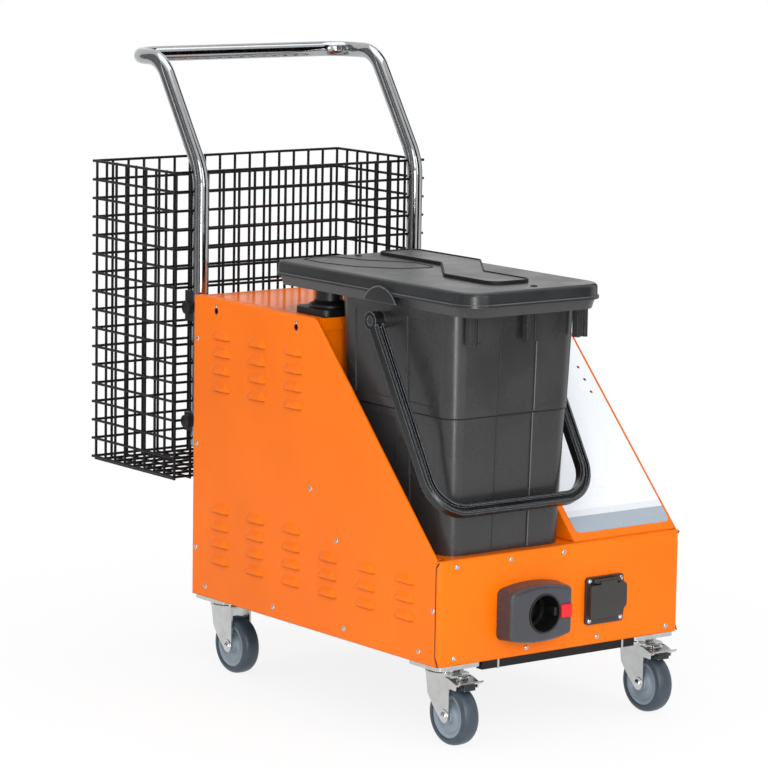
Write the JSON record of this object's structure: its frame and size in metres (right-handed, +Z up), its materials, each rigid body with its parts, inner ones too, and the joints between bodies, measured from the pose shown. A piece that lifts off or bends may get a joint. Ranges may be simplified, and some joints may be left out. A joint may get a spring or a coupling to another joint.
{
  "type": "steam vacuum cleaner",
  "caption": "Wheeled steam vacuum cleaner: louvred sheet-metal body with a lift-out bucket, sloping console, hose socket, push handle and rear wire basket on swivel casters.",
  "frame": {"origin": "on the floor, under the middle of the machine's overall box", "axes": "+X to the machine's right seen from the user in front of it, -Y towards the front panel with the hose socket, +Z up"},
  "size_m": [0.4354, 0.842, 0.8595],
  "materials": {
    "powder_coat_orange": "satin orange powder coat",
    "base_sheet": "black powder coat",
    "console_label_vinyl": "white printed film, blank",
    "lamp_lens": "dark lens",
    "circuit_board": "bare board",
    "rivet_aluminium": "bright rivet heads",
    "crossbar_black": "black paint",
    "band_aluminium": "bare strap",
    "bucket_polypropylene": "black moulded polypropylene",
    "lid_polypropylene": "grey-black moulded polypropylene",
    "lid_screw_steel": "blackened screw",
    "bail_polypropylene": "black moulded polypropylene",
    "duct_moulding": "black moulding",
    "socket_moulding": "dark grey moulding",
    "socket_liner_black": "black moulding",
    "button_red": "red moulding",
    "outlet_moulding": "dark grey moulding",
    "outlet_screw_steel": "bright pan head",
    "pin_steel": "zinc plated",
    "handle_steel": "polished stainless tube",
    "clip_nylon": "black nylon",
    "basket_wire": "black dipped wire",
    "boiler_steel": "stainless steel",
    "brass_fittings": "machined brass",
    "pipe_hose": "braided hose",
    "tank_plastic": "natural polyethylene",
    "pump_body": "black moulding",
    "motor_casing": "cast casing",
    "gland_nylon": "black nylon",
    "caster_zinc": "zinc plated pressing",
    "axle_steel": "zinc plated",
    "hub_plastic": "light grey moulding",
    "tyre_rubber": "grey thermoplastic rubber",
    "pedal_zinc": "zinc plated pressing"
  },
  "bodies": {
    "machine_body": {"front_panel": "powder_coat_orange", "left_side_panel": "powder_coat_orange", "right_side_panel": "powder_coat_orange", "console_cover": "powder_coat_orange", "bucket_bay": "powder_coat_orange", "rear_deck": "powder_coat_orange", "back_panel": "powder_coat_orange", "base_plate": "base_sheet", "console_label": "console_label_vinyl", "indicator_lamps": "lamp_lens", "control_board": "circuit_board", "panel_rivets": "rivet_aluminium", "front_crossbar": "crossbar_black", "crossbar_bands": "band_aluminium", "duct_flange": "duct_moulding", "suction_neck": "duct_moulding", "steam_socket_housing": "socket_moulding", "steam_socket_liner": "socket_liner_black", "power_outlet": "outlet_moulding", "outlet_screws": "outlet_screw_steel", "flap_hinge_pin": "pin_steel", "handle_bolts": "pin_steel", "handle_tube": "handle_steel", "basket_clips": "clip_nylon", "boiler": "boiler_steel", "boiler_heater": "boiler_steel", "safety_valve": "brass_fittings", "steam_valve": "brass_fittings", "steam_pipe": "pipe_hose", "water_tank": "tank_plastic", "feed_pump": "pump_body", "vacuum_motor": "motor_casing", "cable_gland": "gland_nylon", "caster_plates": "caster_zinc"},
    "front_left_caster": {"front_left_fork": "caster_zinc", "front_left_axle": "axle_steel"},
    "front_left_wheel": {"front_left_hub": "hub_plastic", "front_left_tyre": "tyre_rubber"},
    "front_right_caster": {"front_right_fork": "caster_zinc", "front_right_axle": "axle_steel"},
    "front_right_wheel": {"front_right_hub": "hub_plastic", "front_right_tyre": "tyre_rubber"},
    "rear_left_caster": {"rear_left_fork": "caster_zinc", "rear_left_axle": "axle_steel"},
    "rear_left_wheel": {"rear_left_hub": "hub_plastic", "rear_left_tyre": "tyre_rubber"},
    "rear_right_caster": {"rear_right_fork": "caster_zinc", "rear_right_axle": "axle_steel"},
    "rear_right_wheel": {"rear_right_hub": "hub_plastic", "rear_right_tyre": "tyre_rubber"},
    "front_left_brake": {"front_left_pedal": "pedal_zinc"},
    "front_right_brake": {"front_right_pedal": "pedal_zinc"},
    "bucket_body": {"bucket": "bucket_polypropylene"},
    "lid_body": {"bucket_lid": "lid_polypropylene", "lid_screws": "lid_screw_steel"},
    "bail_body": {"bail_handle": "bail_polypropylene"},
    "basket_body": {"wire_basket": "basket_wire"},
    "flap_body": {"outlet_flap": "outlet_moulding"},
    "button_body": {"release_button": "button_red"}
  },
  "joints": [
    {"name": "front_left_swivel", "type": "hinge", "parent": "machine_body", "child": "front_left_caster", "pos_m": [-0.16575, -0.344, 0.08], "axis": [0, 0, 1], "continuous": true},
    {"name": "front_left_roll", "type": "hinge", "parent": "front_left_caster", "child": "front_left_wheel", "pos_m": [-0.16575, -0.366, 0.04], "axis": [1, 0, 0], "continuous": true},
    {"name": "front_right_swivel", "type": "hinge", "parent": "machine_body", "child": "front_right_caster", "pos_m": [0.16625, -0.344, 0.08], "axis": [0, 0, 1], "continuous": true},
    {"name": "front_right_roll", "type": "hinge", "parent": "front_right_caster", "child": "front_right_wheel", "pos_m": [0.16625, -0.366, 0.04], "axis": [1, 0, 0], "continuous": true},
    {"name": "rear_left_swivel", "type": "hinge", "parent": "machine_body", "child": "rear_left_caster", "pos_m": [-0.16575, 0.146, 0.08], "axis": [0, 0, 1], "continuous": true},
    {"name": "rear_left_roll", "type": "hinge", "parent": "rear_left_caster", "child": "rear_left_wheel", "pos_m": [-0.16575, 0.124, 0.04], "axis": [1, 0, 0], "continuous": true},
    {"name": "rear_right_swivel", "type": "hinge", "parent": "machine_body", "child": "rear_right_caster", "pos_m": [0.16625, 0.146, 0.08], "axis": [0, 0, 1], "continuous": true},
    {"name": "rear_right_roll", "type": "hinge", "parent": "rear_right_caster", "child": "rear_right_wheel", "pos_m": [0.16625, 0.124, 0.04], "axis": [1, 0, 0], "continuous": true},
    {"name": "front_left_brake_press", "type": "hinge", "parent": "front_left_caster", "child": "front_left_brake", "pos_m": [-0.16575, -0.37, 0.086], "axis": [1, 0, 0], "range_deg": [0, 8]},
    {"name": "front_right_brake_press", "type": "hinge", "parent": "front_right_caster", "child": "front_right_brake", "pos_m": [0.16625, -0.37, 0.086], "axis": [1, 0, 0], "range_deg": [0, 8]},
    {"name": "bucket_lift", "type": "slide", "parent": "machine_body", "child": "bucket_body", "axis": [0, 0, 1], "range_m": [0, 0.35]},
    {"name": "lid_lift", "type": "slide", "parent": "bucket_body", "child": "lid_body", "axis": [0, 0, 1], "range_m": [0, 0.12]},
    {"name": "bail_swing", "type": "hinge", "parent": "bucket_body", "child": "bail_body", "pos_m": [-0.08075, -0.241, 0.543], "axis": [-1, 0, 0], "range_deg": [0, 146]},
    {"name": "basket_pull", "type": "slide", "parent": "machine_body", "child": "basket_body", "axis": [0, 1, 0], "range_m": [0, 0.25]},
    {"name": "flap_hinge", "type": "hinge", "parent": "machine_body", "child": "flap_body", "pos_m": [0.07225, -0.388, 0.194], "axis": [-1, 0, 0], "range_deg": [0, 100], "stiffness_Nm_per_rad": 0.02, "springref_deg": -17.19},
    {"name": "button_press", "type": "slide", "parent": "machine_body", "child": "button_body", "axis": [0, 1, 0], "range_m": [0, 0.003], "stiffness_N_per_m": 400}
  ]
}
